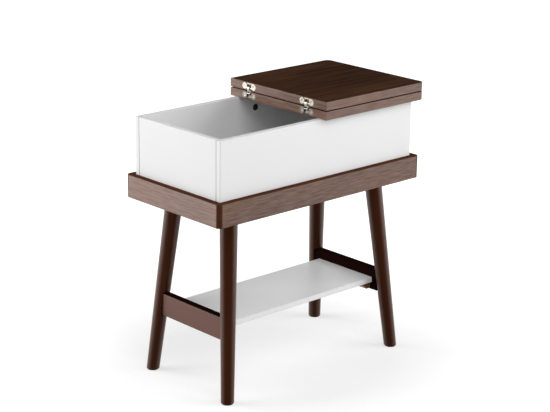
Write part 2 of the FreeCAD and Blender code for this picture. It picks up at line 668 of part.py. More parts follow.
def base_panel():
    board = block(box_length, box_width, d.base_thickness, -box_length / 2, -box_width / 2)
    middle = d.base_thickness / 2
    through = d.base_thickness + 2 * d.overrun
    drill = small_dowel_drill + d.overrun
    tools = []
    for side, sign in SIDES:
        inward = FORWARD if sign > 0 else REARWARD
        edge = sign * (box_width / 2 + d.overrun)
        for x in (-rail_dowel_long, 0, rail_dowel_long):
            tools.append(rod(small_dowel_hole, drill, x, edge, middle, inward))
        for x in box_screw_places:
            tools.append(rod(screw_hole, through, x, sign * panel_middle_y, -d.overrun))
        for end, way in ENDS:
            for x, y in plate_screw_places:
                tools.append(rod(screw_hole, d.board_screw_depth + d.dowel_end_clearance + d.overrun,
                                 way * head_x + x, sign * head_y + y, -d.overrun))
    for end, way in ENDS:
        inward = Rotation(Vector(0, 1, 0), -90 * way)
        edge = way * (box_length / 2 + d.overrun)
        for y in (-rail_dowel_short, rail_dowel_short):
            tools.append(rod(small_dowel_hole, drill, edge, y, middle, inward))
    keep("base_panel", put(cut(board, tools), z=base_underside))


def screws(label, places, under, length):
    """Wood screws driven upwards, with their heads against a surface at one height."""
    body = new_body(label)
    heads = circles(body, "Heads", "XY_Plane", places, d.screw_head_diameter, under - d.screw_head_height)
    pad(heads, d.screw_head_height)
    pad(circles(body, "Shanks", "XY_Plane", places, d.screw_diameter, under), length)


def leg(label, way, sign):
    """A leaning tapered leg, drawn with its foot at zero, with a notch for the stretcher's end."""
    axis = Vector(-way * lean_x.number, -sign * lean_y.number, leg_top.number).normalize()
    cone = doc.addObject("Part::Cone", "Taper")
    bind(cone, "Radius1", (d.foot_diameter - leg_taper_share * d.overrun) / 2)
    bind(cone, "Radius2", (d.head_diameter + leg_taper_share * d.overrun) / 2)
    bind(cone, "Height", leg_length + 2 * d.overrun)
    cone.Placement = FreeCAD.Placement(axis * -d.overrun.number, Rotation(Vector(0, 0, 1), axis))
    slab = block(2 * foot_x, 2 * foot_x, leg_top - d.foot_pad_thickness, -foot_x, -foot_x,
                 d.foot_pad_thickness)
    shaft = doc.addObject("Part::Common", "Shaft")
    shaft.Base = cone
    shaft.Tool = slab
    x = way * (stretcher_x - foot_x)
    y = sign * (stretcher_reach - foot_y)
    outward = REARWARD if sign > 0 else FORWARD
    tools = [notch(axis, way, sign)]
    tools.append(rod(hanger_hole, d.hanger_depth + d.dowel_end_clearance + d.overrun, -way * lean_x,
                     -sign * lean_y, leg_top - d.hanger_depth - d.dowel_end_clearance))
    depth = d.leg_dowel_depth + d.dowel_end_clearance
    for height in stretcher_dowel_heights:
        tools.append(rod(stretcher_dowel_hole, depth, x, y, height, outward))
    keep(label, put(cut(shaft, tools), x=way * foot_x, y=sign * foot_y))


def notch(axis, way, sign):
    """The housing for a stretcher: parallel to the leg's axis, open towards the table's middle."""
    across = axis.cross(Vector(1, 0, 0)).normalize()
    along = across.cross(axis)
    reach = d.head_diameter
    wall = d.stretcher_thickness / 2 + d.notch_clearance
    height = d.stretcher_height * rise_share + d.notch_head_clearance + d.notch_foot_clearance
    item = block(reach + wall, reach, height)
    x = -reach if way > 0 else -wall
    y = d.notch_seat_offset if sign < 0 else -d.notch_seat_offset - reach
    z = (d.stretcher_top_height - d.stretcher_height) * rise_share - d.notch_foot_clearance
    corner = along * x.number + across * y.number + axis * z.number
    item.Placement = FreeCAD.Placement(corner, Rotation(along, across, axis, "ZYX"))
    return item


def leg_plate(label, way, sign):
    body = new_body(label)
    half = d.plate_width / 2
    flange = pad(rectangle(body, "Flange", "XY_Plane", -half, -half, half, half, -d.plate_thickness),
                 d.plate_thickness)
    soften("Fillet", flange, "Radius", d.plate_corner_radius,
           lambda edge: lies_along(edge, Vector(0, 0, 1)))
    depth = d.plate_thickness + d.hub_height
    pad(circles(body, "Hub", "XY_Plane", [(0, 0)], d.hub_diameter, -depth), d.hub_height)
    pocket(circles(body, "BoltHole", "XY_Plane", [(0, 0)], hanger_hole), depth)
    pocket(circles(body, "ScrewHoles", "XY_Plane", plate_screw_places, screw_hole), d.plate_thickness)
    put(body, way * head_x, sign * head_y, base_underside)


def stand():
    heads = []
    for side, sign in SIDES:
        for end, way in ENDS:
            corner = side + "_" + end
            leg("leg_" + corner, way, sign)
            leg_plate("leg_plate_" + corner, way, sign)
            keep("foot_pad_" + corner, rod(d.foot_pad_diameter, d.foot_pad_thickness,
                                           way * foot_x, sign * foot_y, 0))
            heads.append((way * head_x, sign * head_y))
    bolts = new_body("hanger_bolts")
    low = leg_top - d.hanger_depth
    pad(circles(bolts, "Bolts", "XY_Plane", heads, d.hanger_diameter, low), base_underside - low)
    places = [(x + px, y + py) for x, y in heads for px, py in plate_screw_places]
    length = d.plate_thickness + d.board_screw_depth
    screws("plate_screws", places, base_underside - d.plate_thickness, length)


def stretcher(label, way):
    """A board on edge, drawn about its middle, with its inner face towards +X."""
    body = new_body(label)
    half = d.stretcher_thickness / 2
    rise = d.stretcher_height / 2
    section = rectangle(body, "Section", "XZ_Plane", -half, -rise, half, rise)
    board = pad(section, 2 * stretcher_reach, both_ways=True)
    soften("Fillet", board, "Radius", d.stretcher_edge_radius,
           lambda edge: lies_along(edge, Vector(0, 1, 0)))
    places = [(0, height - stretcher_middle) for height in stretcher_dowel_heights]
    for side, sign in SIDES:
        end = -sign * stretcher_reach
        holes = circles(body, "DowelHoles", "XZ_Plane", places, stretcher_dowel_hole, end)
        pocket(holes, d.stretcher_dowel_depth + d.dowel_end_clearance, reverse=sign > 0)
    height = shelf_underside - d.cleat_height / 2 - stretcher_middle
    sockets = [(-cleat_dowel_place, height), (cleat_dowel_place, height)]
    cleat_holes = circles(body, "CleatDowelHoles", "YZ_Plane", sockets, small_dowel_hole, half)
    pocket(cleat_holes, small_dowel_drill)
    put(body, x=way * stretcher_x, z=stretcher_middle, turn=Rotation(Vector(0, 0, 1), 90 + 90 * way))


def cleat(label, way):
    """A bevelled cleat, drawn with its back at zero and its top at zero."""
    body = new_body(label)
    corners = [(0, -d.cleat_height), (d.cleat_foot_width, -d.cleat_height), (d.cleat_width, 0), (0, 0)]
    pad(outline(body, "Section", "XZ_Plane", corners), cleat_length, both_ways=True)
    sockets = [(-cleat_dowel_place, -d.cleat_height / 2), (cleat_dowel_place, -d.cleat_height / 2)]
    holes = circles(body, "DowelHoles", "YZ_Plane", sockets, small_dowel_hole)
    pocket(holes, small_dowel_drill, reverse=True)
    places = [(d.cleat_foot_width / 2, -shelf_screw_place), (d.cleat_foot_width / 2, shelf_screw_place)]
    pocket(circles(body, "ScrewHoles", "XY_Plane", places, screw_hole), d.cleat_height)
    put(body, x=way * stretcher_face, z=shelf_underside, turn=Rotation(Vector(0, 0, 1), 90 + 90 * way))


def shelf():
    length = 2 * (stretcher_face - d.shelf_clearance)
    board = block(length, shelf_width, d.shelf_thickness, -length / 2, -shelf_width / 2)
    screw_x = stretcher_face - d.cleat_foot_width / 2
    places = [(way * screw_x, sign * shelf_screw_place) for end, way in ENDS for side, sign in SIDES]
    depth = d.board_screw_depth + d.dowel_end_clearance + d.overrun
    tools = [rod(screw_hole, depth, x, y, -d.overrun) for x, y in places]
    keep("shelf", put(cut(board, tools), z=shelf_underside))
    screws("shelf_screws", places, shelf_underside - d.cleat_height, d.cleat_height + d.board_screw_depth)


def stretchers():
    for end, way in ENDS:
        stretcher("stretcher_" + end, way)
        cleat("cleat_" + end, way)
    dowels = new_body("stretcher_dowels")
    places = [(way * stretcher_x, height) for end, way in ENDS for height in stretcher_dowel_heights]
    for side, sign in SIDES:
        start = circles(dowels, "Dowels", "XZ_Plane", places, d.stretcher_dowel_diameter,
                        -sign * (stretcher_reach - d.stretcher_dowel_depth))
        pad(start, d.stretcher_dowel_depth + d.leg_dowel_depth, reverse=sign > 0)
    small = new_body("cleat_dowels")
    height = shelf_underside - d.cleat_height / 2
    sockets = [(sign * cleat_dowel_place, height) for side, sign in SIDES]
    for end, way in ENDS:
        joint = way * stretcher_face
        start = circles(small, "CleatDowels", "YZ_Plane", sockets, d.small_dowel_diameter, joint)
        pad(start, 2 * d.small_dowel_depth, both_ways=True)


def box():
    for side, sign in SIDES:
        long_panel("box_" + side, sign)
    for end, way in ENDS:
        end_panel("box_" + end, way)
    places = [(x, sign * panel_middle_y) for x in box_screw_places for side, sign in SIDES]
    screws("box_screws", places, base_underside, d.base_thickness + d.wall_screw_depth)


def export():
    doc.recompute()
    for item in doc.Objects:
        if "Invalid" in item.State or "Error" in item.State:
            raise RuntimeError(f"{item.Label} did not build: {item.State}")
    os.makedirs("parts", exist_ok=True)
    for label, item in nodes.items():
        if item.Shape.isNull() or not item.Shape.isValid():
            raise RuntimeError(f"{label} has no valid shape")
        item.Shape.exportStep(f"parts/{label}.step")


leaf("fixed_leaf", UP, True)
leaf("flip_leaf", DOWN, False)
hinges()
box()
leaf_cams()
corner_cams()
rails()
base_panel()
stand()
stretchers()
shelf()
export()
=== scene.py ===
import json
import math
import bmesh
import bpy
from mathutils import Matrix, Vector

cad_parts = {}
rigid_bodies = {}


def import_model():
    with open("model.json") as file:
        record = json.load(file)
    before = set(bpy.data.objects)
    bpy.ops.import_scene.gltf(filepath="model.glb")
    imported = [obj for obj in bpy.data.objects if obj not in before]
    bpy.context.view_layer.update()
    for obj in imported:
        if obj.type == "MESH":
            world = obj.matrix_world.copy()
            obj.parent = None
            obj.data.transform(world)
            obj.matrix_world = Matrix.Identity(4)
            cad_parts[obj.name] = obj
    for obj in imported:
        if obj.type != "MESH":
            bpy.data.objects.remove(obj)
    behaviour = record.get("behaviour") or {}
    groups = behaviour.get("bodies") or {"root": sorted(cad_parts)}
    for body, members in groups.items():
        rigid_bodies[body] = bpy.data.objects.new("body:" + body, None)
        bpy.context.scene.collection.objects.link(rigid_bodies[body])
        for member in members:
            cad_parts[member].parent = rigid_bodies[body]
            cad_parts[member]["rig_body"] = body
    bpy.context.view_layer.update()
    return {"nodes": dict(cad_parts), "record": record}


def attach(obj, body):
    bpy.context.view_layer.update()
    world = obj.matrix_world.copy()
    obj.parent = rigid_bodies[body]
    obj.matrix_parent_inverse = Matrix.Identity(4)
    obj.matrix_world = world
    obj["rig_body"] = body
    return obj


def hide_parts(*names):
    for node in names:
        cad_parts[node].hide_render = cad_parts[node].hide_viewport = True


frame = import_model()
nodes = frame["nodes"]
scene = bpy.context.scene

# Lengths are in metres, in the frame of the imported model: X along the table, front towards -Y.
X, Y, Z = 0, 1, 2
WELD = 0.00001

# Half sizes of the inside of the box, and the joints between its end panels and long panels
INNER_LENGTH = 0.2632
INNER_WIDTH = 0.1232
SEAM_PLACE = 0.1228
SEAM_HALF = 0.0008

# Half sizes of the tray up to where its rounded corners begin
TRAY_STRAIGHT_X = 0.2815
TRAY_STRAIGHT_Y = 0.1415

# Distance from the hinge line at which painted shade starts to darken a hinge half
HINGE_SLOT_SHADE = 0.0026
HINGE_BODY_SHADE = 0.0008

# How squarely a face looks along an axis, where a mask starts and where it is full
END_FACE = 0.7
UPRIGHT_LIMITS = (0.55, 0.85)
SQUARE_LIMITS = (0.985, 0.998)
OUTWARD_LIMITS = (0.75, 0.97)

# Lacquer of a round leg by the slant at which it is seen
EVEN_BLEND = 0.5
LACQUER_RISE = (0.12, 0.25)
LACQUER_FULL = 0.44
LACQUER_FALL = (0.35, 0.65)
LACQUER_RIM_SHARE = 0.55

# Patterns: features in a metre, with their detail
BANDS = {"scale": 55.0, "detail": 3.0, "rough": 0.55, "twist": 0.5}
STREAKS = {"scale": 260.0, "detail": 4.0, "rough": 0.62, "twist": 0.3}
FLECKS = {"scale": 560.0, "detail": 3.0, "rough": 0.55, "twist": 0.2}
PORES = {"scale": 1500.0}
PATCHES = {"scale": 16.0}
CLOUDS = {"scale": 9.0, "detail": 3.0}
ROLLER = {"scale": 950.0}
TARNISH = {"scale": 120.0, "detail": 4.0, "rough": 0.6}
CASTING = {"scale": 700.0, "detail": 3.0}
MOTTLE = {"scale": 60.0, "detail": 3.0}
MOULDING = {"scale": 1600.0, "detail": 3.0}
PAPER = {"scale": 3.0}
PATTERN_RANGE = (0.3, 0.7)

# Wood: how far each pattern is drawn out along the grain, and its share in colour, gloss and relief
GRAIN_STRETCH = 0.03
PORE_STRETCH = 0.012
PATCH_STRETCH = 0.25
FLECK_STRETCH = 0.045
FIGURE_SHARES = {"patches": 0.25, "bands": 0.2, "streaks": 0.45, "pores": 0.1}
GLOSS_SHARES = {"streaks": 0.6, "bands": 0.4}
RELIEF_SHARES = {"streaks": 0.4, "pores": 0.6}
FIGURE_STOPS = (0.40, 0.5, 0.60)
FLECK_LIMITS = (0.43, 0.57)
FLECK_HUE = (1.0, 0.85, 0.77)
WOOD_GLOSS_SPREAD = 0.06
WOOD_RELIEF = {"strength": 0.25, "depth": 0.0002}

# Painted board
BOARD_ROUGHNESS = 0.42
BOARD_GLOSS_SPREAD = (-0.04, 0.05)
BOARD_RELIEF = {"strength": 0.08, "depth": 0.0002}
EDGE_TINT = 0.85
SEAM_TINT = 0.4
CLOUD_DARKNESS = 0.03

# Metal and plastic: places and tints of the stops in their colour
TARNISH_STOPS = ((0.3, 0.86), (0.55, 1.0), (0.75, 1.05))
METAL_GLOSS_SPREAD = (-0.07, 0.09)
METAL_RELIEF = {"strength": 0.12, "depth": 0.0001}
# Painted shade deep in a hinge: how far it takes to fade in, how much it covers, and how dark it is
RECESS_SHADE_FADE = 1.5
RECESS_SHADE_COVER = 0.85
RECESS_SHADE_TINT = 0.08
MOTTLE_STOPS = ((0.3, 0.8), (0.7, 1.15))
PLASTIC_GLOSS_SPREAD = (-0.08, 0.1)
PLASTIC_RELIEF = {"strength": 0.2, "depth": 0.0001}


class Shading:
    """A node tree with texture coordinates and short ways to add nodes to it."""

    def __init__(self, owner):
        owner.use_nodes = True
        self.tree = owner.node_tree
        self.sources = self.tree.nodes.new("ShaderNodeTexCoord").outputs

    def node(self, kind, inputs=(), **settings):
        node = self.tree.nodes.new("ShaderNode" + kind)
        for name, value in settings.items():
            setattr(node, name, value)
        for key, value in dict(inputs).items():
            self.feed(node.inputs[key], value)
        return node

    def feed(self, socket, value):
        if isinstance(value, bpy.types.NodeSocket):
            self.tree.links.new(value, socket)
        else:
            socket.default_value = value

    def math(self, operation, first, second=0.0):
        return self.node("Math", {0: first, 1: second}, operation=operation).outputs["Value"]

    def spread(self, value, low, high, start, end):
        """Takes a value from one range to another and stops at its ends."""
        inputs = {"Value": value, "From Min": low, "From Max": high, "To Min": start, "To Max": end}
        return self.node("MapRange", inputs).outputs["Result"]

    def seen_rays(self):
        """One for rays from the camera and for those that gloss or glass sends on."""
        rays = self.node("LightPath").outputs
        seen = self.math("MAXIMUM", rays["Is Camera Ray"], rays["Is Glossy Ray"])
        return self.math("MAXIMUM", seen, rays["Is Transmission Ray"])


class Finish(Shading):
    """A procedural material, laid out in the object's own coordinates."""

    def __init__(self, name, **sockets):
        self.material = bpy.data.materials.new(name)
        super().__init__(self.material)
        self.shader = self.tree.nodes["Principled BSDF"]
        for socket, value in sockets.items():
            self.shader.inputs[socket.replace("_", " ")].default_value = value

    def stretched(self, axis, share):
        """Coordinates squeezed along one axis, so that a pattern is drawn out along it."""
        scale = [1.0, 1.0, 1.0]
        scale[axis] = share
        inputs = {"Vector": self.sources["Object"], "Scale": scale}
        return self.node("Mapping", inputs).outputs["Vector"]

    def grain(self, axis, share, ends=None):
        """Coordinates drawn out along one axis, or along another on the ends that look along it."""
        along = self.stretched(axis, share)
        if ends is None:
            return along
        on_end = self.math("GREATER_THAN", self.math("ABSOLUTE", self.facing(axis)), END_FACE)
        return self.mix(on_end, along, self.stretched(ends, share))

    def noise(self, scale, detail=2.0, rough=0.5, twist=0.0, place=None):
        inputs = {"Vector": place or self.sources["Object"], "Scale": scale, "Detail": detail,
                  "Roughness": rough, "Distortion": twist}
        return self.node("TexNoise", inputs).outputs["Fac"]

    def blend_values(self, values, shares):
        total = 0.0
        for key, share in shares.items():
            total = self.math("ADD", self.math("MULTIPLY", values[key], share), total)
        return total

    def ramp(self, value, *stops):
        node = self.node("ValToRGB", {"Fac": value})
        elements = node.color_ramp.elements
        while len(elements) < len(stops):
            elements.new(0.5)
        for element, (place, colour) in zip(elements, stops):
            element.position = place
            element.color = opaque(colour)
        return node.outputs["Color"]

    def mix(self, share, first, second, blend="MIX"):
        node = self.node("Mix", data_type="RGBA", blend_type=blend)
        for key, value in (("Factor_Float", share), ("A_Color", first), ("B_Color", second)):
            socket = [s for s in node.inputs if s.identifier == key][0]
            self.feed(socket, value)
        return [s for s in node.outputs if s.identifier == "Result_Color"][0]

    def facing(self, axis):
        """How squarely a face looks along an axis, with its sign."""
        return self.node("SeparateXYZ", {"Vector": self.sources["Normal"]}).outputs[axis]

    def upright(self):
        """One on upright faces, nought on those that lie flat."""
        return self.spread(self.math("ABSOLUTE", self.facing(Z)), *UPRIGHT_LIMITS, 1.0, 0.0)

    def square(self):
        """One on faces square to the table's sides, nought on rounded corners and level edges."""
        sides = [self.math("ABSOLUTE", self.facing(axis)) for axis in (X, Y)]
        square = self.spread(self.math("MAXIMUM", *sides), *SQUARE_LIMITS, 0.0, 1.0)
        straight = self.math("MAXIMUM", self.within(X, TRAY_STRAIGHT_X),
                             self.within(Y, TRAY_STRAIGHT_Y))
        return self.math("MULTIPLY", square, straight)

    def outward(self, sign):
        """One on faces that look out along X on the given side."""
        along = self.math("MULTIPLY", self.facing(X), sign)
        return self.spread(along, *OUTWARD_LIMITS, 0.0, 1.0)

    def glancing(self):
        """Nought on faces seen squarely, more on those seen at a slant, as on a lacquered leg."""
        slant = self.node("LayerWeight", {"Blend": EVEN_BLEND}).outputs["Facing"]
        rise = self.spread(slant, *LACQUER_RISE, 0.0, LACQUER_FULL)
        fall = self.spread(slant, *LACQUER_FALL, 1.0, LACQUER_RIM_SHARE)
        return self.math("MULTIPLY", rise, fall)

    def place(self, axis):
        return self.node("SeparateXYZ", {"Vector": self.sources["Object"]}).outputs[axis]

    def aside(self, axis):
        """Distance from the table's middle plane across an axis."""
        return self.math("ABSOLUTE", self.place(axis))

    def within(self, axis, half):
        """One where the place along an axis is less than a half length from the middle."""
        return self.math("LESS_THAN", self.aside(axis), half)

    def seam(self):
        """One along the joints between the end panels and the long panels of the box."""
        off = self.math("ABSOLUTE", self.math("SUBTRACT", self.aside(Y), SEAM_PLACE))
        near = self.math("LESS_THAN", off, SEAM_HALF)
        outside = self.math("GREATER_THAN", self.aside(X), INNER_LENGTH)
        return self.math("MULTIPLY", near, outside)

    def wear(self, colour, rough, height, relief):
        """Gives the shader its colour, roughness and relief."""
        shader = self.shader.inputs
        self.feed(shader["Base Color"], colour)
        self.feed(shader["Roughness"], rough)
        inputs = {"Height": height, "Strength": relief["strength"], "Distance": relief["depth"]}
        self.feed(shader["Normal"], self.node("Bump", inputs).outputs["Normal"])
        return self.material


def opaque(colour):
    return (*colour, 1.0)


def grey(level):
    return (level, level, level)


def tint(colour, share):
    return tuple(channel * share for channel in colour)


def wood(name, axis, colour, contrast=0.35, rough=0.4, dull_and_shade=None, lacquered=None, ends=None,
         flecks=0.0, **sockets):
    """Stained wood with patches, broad bands, long streaks and fine pores along one axis. Where a
    second colour is given, the lacquered colour shows only on the faces that are picked and the
    second colour on the rest: dark edge paint on the rails, painted shade on the stretchers' inner
    faces, and on the leaf's level faces a darker stain that is partly painted shade. Flecks are
    the greyish marks of an open grain, as much lighter as the value says."""
    finish = Finish(name, **sockets)
    grain = finish.grain(axis, GRAIN_STRETCH, ends)
    patterns = {
        "bands": finish.noise(**BANDS, place=grain),
        "streaks": finish.noise(**STREAKS, place=grain),
        "pores": finish.noise(**PORES, place=finish.grain(axis, PORE_STRETCH, ends)),
        "patches": finish.noise(**PATCHES, place=finish.grain(axis, PATCH_STRETCH, ends)),
    }
    figure = finish.blend_values(patterns, FIGURE_SHARES)

    def grained(tone):
        tones = (tint(tone, 1 - contrast), tone, tint(tone, 1 + contrast))
        return finish.ramp(figure, *zip(FIGURE_STOPS, tones))

    if flecks:
        marks = finish.noise(**FLECKS, place=finish.grain(axis, FLECK_STRETCH, ends))
        ground = tuple(channel - flecks / 2 * hue for channel, hue in zip(colour, FLECK_HUE))
        shade = finish.mix(finish.spread(marks, *FLECK_LIMITS, 0.0, 1.0), grained(ground),
                           opaque(tint(FLECK_HUE, flecks)), "ADD")
    else:
        shade = grained(colour)
    if lacquered:
        lacquer = lacquered(finish)
        finish.feed(finish.shader.inputs["Coat Weight"], lacquer)
        finish.shader.inputs["Coat Roughness"].default_value = rough
    # The second colour: edge paint on the rails, painted shade on the stretchers' inner faces,
    # partly painted shade on the leaf's level faces
    if dull_and_shade:
        shade = finish.mix(lacquer, grained(dull_and_shade), shade)
        finish.shader.inputs["Specular IOR Level"].default_value = 0.0
    gloss = finish.spread(finish.blend_values(patterns, GLOSS_SHARES), *PATTERN_RANGE,
                          rough + WOOD_GLOSS_SPREAD, rough - WOOD_GLOSS_SPREAD)
    return finish.wear(shade, gloss, finish.blend_values(patterns, RELIEF_SHARES), WOOD_RELIEF)


def uneven_gloss(finish, pattern, rough, limits):
    """Roughness that follows a pattern, between two limits about its middle value."""
    low, high = limits
    return finish.spread(pattern, *PATTERN_RANGE, rough + low, rough + high)


def board(name, colour, level, inner_shade=None):
    """A painted board with a faint roller texture, greyer on level faces and inside the box, where
    the grey is painted shade.
    """
    finish = Finish(name)
    clouds = finish.noise(**CLOUDS)
    roller = finish.noise(**ROLLER)
    side = finish.mix(finish.square(), opaque(tint(colour, EDGE_TINT)), opaque(colour))
    shade = finish.mix(finish.upright(), opaque(level), side)
    shade = finish.mix(clouds, shade, finish.mix(CLOUD_DARKNESS, shade, opaque(grey(0.0))))
    # Painted shade on the inside of the box; the seams are dark joints
    if inner_shade:
        inside = finish.math("MULTIPLY", finish.within(X, INNER_LENGTH),
                             finish.within(Y, INNER_WIDTH))
        shade = finish.mix(inside, shade, opaque(inner_shade))
        shade = finish.mix(finish.seam(), shade, opaque(tint(inner_shade, SEAM_TINT)))
    gloss = uneven_gloss(finish, clouds, BOARD_ROUGHNESS, BOARD_GLOSS_SPREAD)
    return finish.wear(shade, gloss, roller, BOARD_RELIEF)


def metal(name, colour, rough, recess=None, **sockets):
    """Cast or plated metal with uneven gloss, and with painted shade where a hinge lies deep in the
    leaf's edge.
    """
    finish = Finish(name, **{"Metallic": 1.0, **sockets})
    tarnish = finish.noise(**TARNISH)
    casting = finish.noise(**CASTING)
    shade = finish.ramp(tarnish, *((place, tint(colour, share)) for place, share in TARNISH_STOPS))
    # Painted shade, darker the deeper the hinge lies in the leaf's edge
    if recess:
        depth = finish.spread(finish.place(X), recess, RECESS_SHADE_FADE * recess, 0.0, RECESS_SHADE_COVER)
        shade = finish.mix(depth, shade, opaque(tint(colour, RECESS_SHADE_TINT)))
    gloss = uneven_gloss(finish, casting, rough, METAL_GLOSS_SPREAD)
    return finish.wear(shade, gloss, casting, METAL_RELIEF)


def plastic(name, colour, rough):
    """Moulded plastic or black paint with a fine texture."""
    finish = Finish(name)
    moulding = finish.noise(**MOULDING)
    mottle = finish.noise(**MOTTLE)
    shade = finish.ramp(mottle, *((place, tint(colour, share)) for place, share in MOTTLE_STOPS))
    gloss = uneven_gloss(finish, moulding, rough, PLASTIC_GLOSS_SPREAD)
    return finish.wear(shade, gloss, moulding, PLASTIC_RELIEF)


# The leaf's level faces: a darker stain than its edges, partly its own finish and partly painted
# shade
LEAF_STAIN_AND_SHADE = (0.053, 0.0255, 0.0145)
VENEER = (0.116, 0.053, 0.030)
LEAF_VENEER = tint(VENEER, 1.15)
# The end rails' veneer: a lighter, redder copy of the same veneer, painted light
END_VENEER_LIT = (0.150, 0.062, 0.030)
EDGE_PAINT = (0.082, 0.033, 0.018)
STAIN = (0.0155, 0.0038, 0.0014)
STAIN_GLOSS = (0.4, 0.12, 0.05)
STAIN_SHEEN = (1.0, 0.5, 0.32)
STRETCHER = (0.096, 0.027, 0.011)
SHADOW_PAINT = (0.010, 0.0035, 0.0025)
CLEAT = (0.16, 0.06, 0.025)
BEECH = (0.55, 0.36, 0.20)
WHITE = (0.90, 0.90, 0.905)
# The box's level rim: the same white paint, greyer as painted shade
BOX_RIM_SHADE = tint(WHITE, 0.8)
# The inside of the box: the same white paint, slightly darker as painted shade
BOX_INSIDE_SHADE = tint(WHITE, 0.97)
# The top of the box's base: the same white paint, made grey as painted shade inside the box
BASE_TOP_SHADE = tint(WHITE, 0.57)
# The shelf: its edges lighter as painted light, its top darker as a painted shadow of the box above
SHELF_EDGE_LIT = tint(WHITE, 1.02)
SHELF_TOP_SHADOW = tint(WHITE, 0.86)
PAD_BLACK = (0.012, 0.010, 0.009)
CAM_BLACK = (0.012, 0.012, 0.013)
PLATE_ZINC = (0.55, 0.56, 0.58)
SCREW_ZINC = (0.52, 0.52, 0.53)
BOLT_ZINC = (0.55, 0.55, 0.56)
NICKEL = (0.50, 0.465, 0.405)
# The fixed hinge halves' nickel: the same plating, made darker as painted shade
SHADED_NICKEL = (0.42, 0.39, 0.335)
SCREW_NICKEL = (0.46, 0.43, 0.37)
# The bright links: a lighter copy of the nickel with less metal, a painted highlight
LIT_LINK_NICKEL = (0.82, 0.77, 0.68)
# The fixed links: dark blackened steel, made this dark also as painted shade for the gap between
# the leaves
BURNISHED_SHADE = (0.10, 0.09, 0.08)
PIN_STEEL = (0.56, 0.55, 0.53)
finishes = {
    # The leaf's level faces take a dark colour that is partly painted shade
    "leaf_wood": wood("leaf_walnut", X, LEAF_VENEER, contrast=0.5, dull_and_shade=LEAF_STAIN_AND_SHADE,
                      lacquered=Finish.upright, ends=Y, flecks=0.06),
    "rail_wood_x": wood("rail_walnut_along", X, VENEER, contrast=0.3, dull_and_shade=EDGE_PAINT,
                        lacquered=Finish.square, flecks=0.075),
    # The end rails' lighter veneer is painted light
    "rail_wood_y": wood("rail_walnut_across", Y, END_VENEER_LIT, contrast=0.3, dull_and_shade=EDGE_PAINT,
                        lacquered=Finish.square, flecks=0.075, Coat_IOR=1.75),
    "leg_wood": wood("leg_walnut", Z, STAIN, contrast=0.25, rough=0.3, lacquered=Finish.glancing,
                     Specular_IOR_Level=0.6, Specular_Tint=opaque(STAIN_GLOSS),
                     Sheen_Weight=0.6, Sheen_Roughness=0.4, Sheen_Tint=opaque(STAIN_SHEEN)),
    # The stretchers' inner faces take SHADOW_PAINT, painted shade; only the outward faces keep the
    # lacquered colour
    "stretcher_left": wood("stretcher_left_walnut", Y, STRETCHER, contrast=0.12, rough=0.42,
                           dull_and_shade=SHADOW_PAINT, lacquered=lambda finish: finish.outward(-1.0)),
    "stretcher_right": wood("stretcher_right_walnut", Y, STRETCHER, contrast=0.12, rough=0.42,
                            dull_and_shade=SHADOW_PAINT, lacquered=lambda finish: finish.outward(1.0)),
    "cleat_wood": wood("cleat_walnut", Y, CLEAT, contrast=0.2),
    "box_board": board("box_white", WHITE, BOX_RIM_SHADE, inner_shade=BOX_INSIDE_SHADE),
    "base_board": board("base_white", WHITE, BASE_TOP_SHADE),
    "shelf_board": board("shelf_white", SHELF_EDGE_LIT, SHELF_TOP_SHADOW),
    "pad_plastic": plastic("pad_plastic", PAD_BLACK, rough=0.5),
    "plate_steel": metal("plate_zinc", PLATE_ZINC, rough=0.36),
    # Both hinge halves have painted shade deep in their slots
    "hinge_half_flip": metal("hinge_nickel", NICKEL, rough=0.44, recess=HINGE_SLOT_SHADE),
    # The fixed halves' darker nickel is painted shade
    "hinge_half_fixed": metal("hinge_nickel_shaded", SHADED_NICKEL, rough=0.44, recess=HINGE_BODY_SHADE),
    # The bright links' light nickel is a painted highlight
    "link_bright": metal("link_nickel_lit", LIT_LINK_NICKEL, rough=0.5, Metallic=0.55),
    # The fixed links' dark colour is partly painted shade
    "link_dark": metal("link_burnished_shade", BURNISHED_SHADE, rough=0.4),
    "pin_steel": metal("pin_steel", PIN_STEEL, rough=0.25),
    "hinge_screw_steel": metal("hinge_screw_nickel", SCREW_NICKEL, rough=0.4),
    "screw_steel": metal("screw_zinc", SCREW_ZINC, rough=0.33),
    "cam_metal": plastic("cam_black", CAM_BLACK, rough=0.45),
    "cam_bolt_steel": metal("cam_bolt_zinc", BOLT_ZINC, rough=0.3),
    "dowel_wood": wood("dowel_beech", Z, BEECH, contrast=0.15, rough=0.6),
}

# Each slot's broken edges: their width, and the shortest edge that is broken
BEVELS = {
    "leaf_wood": (0.0008, 0.0012), "rail_wood": (0.0008, 0.0009), "leg_wood": (0.0006, 0.0018),
    "stretcher_wood": (0.0004, 0.003), "cleat_wood": (0.0006, 0.003), "box_board": (0.0008, 0.003),
    "base_board": (0.0005, 0.003), "shelf_board": (0.0006, 0.003), "link_bright": (0.0002, 0.0),
    "link_dark": (0.0002, 0.0), "plate_steel": (0.0004, 0.0), "pad_plastic": (0.0005, 0.0),
}
BEVEL_SEGMENTS = 2
SHARP_EDGE = 0.6
OUTLINE_LENGTH = 0.02
HINGE_REACH = 0.03
NO_REACH = -1.0


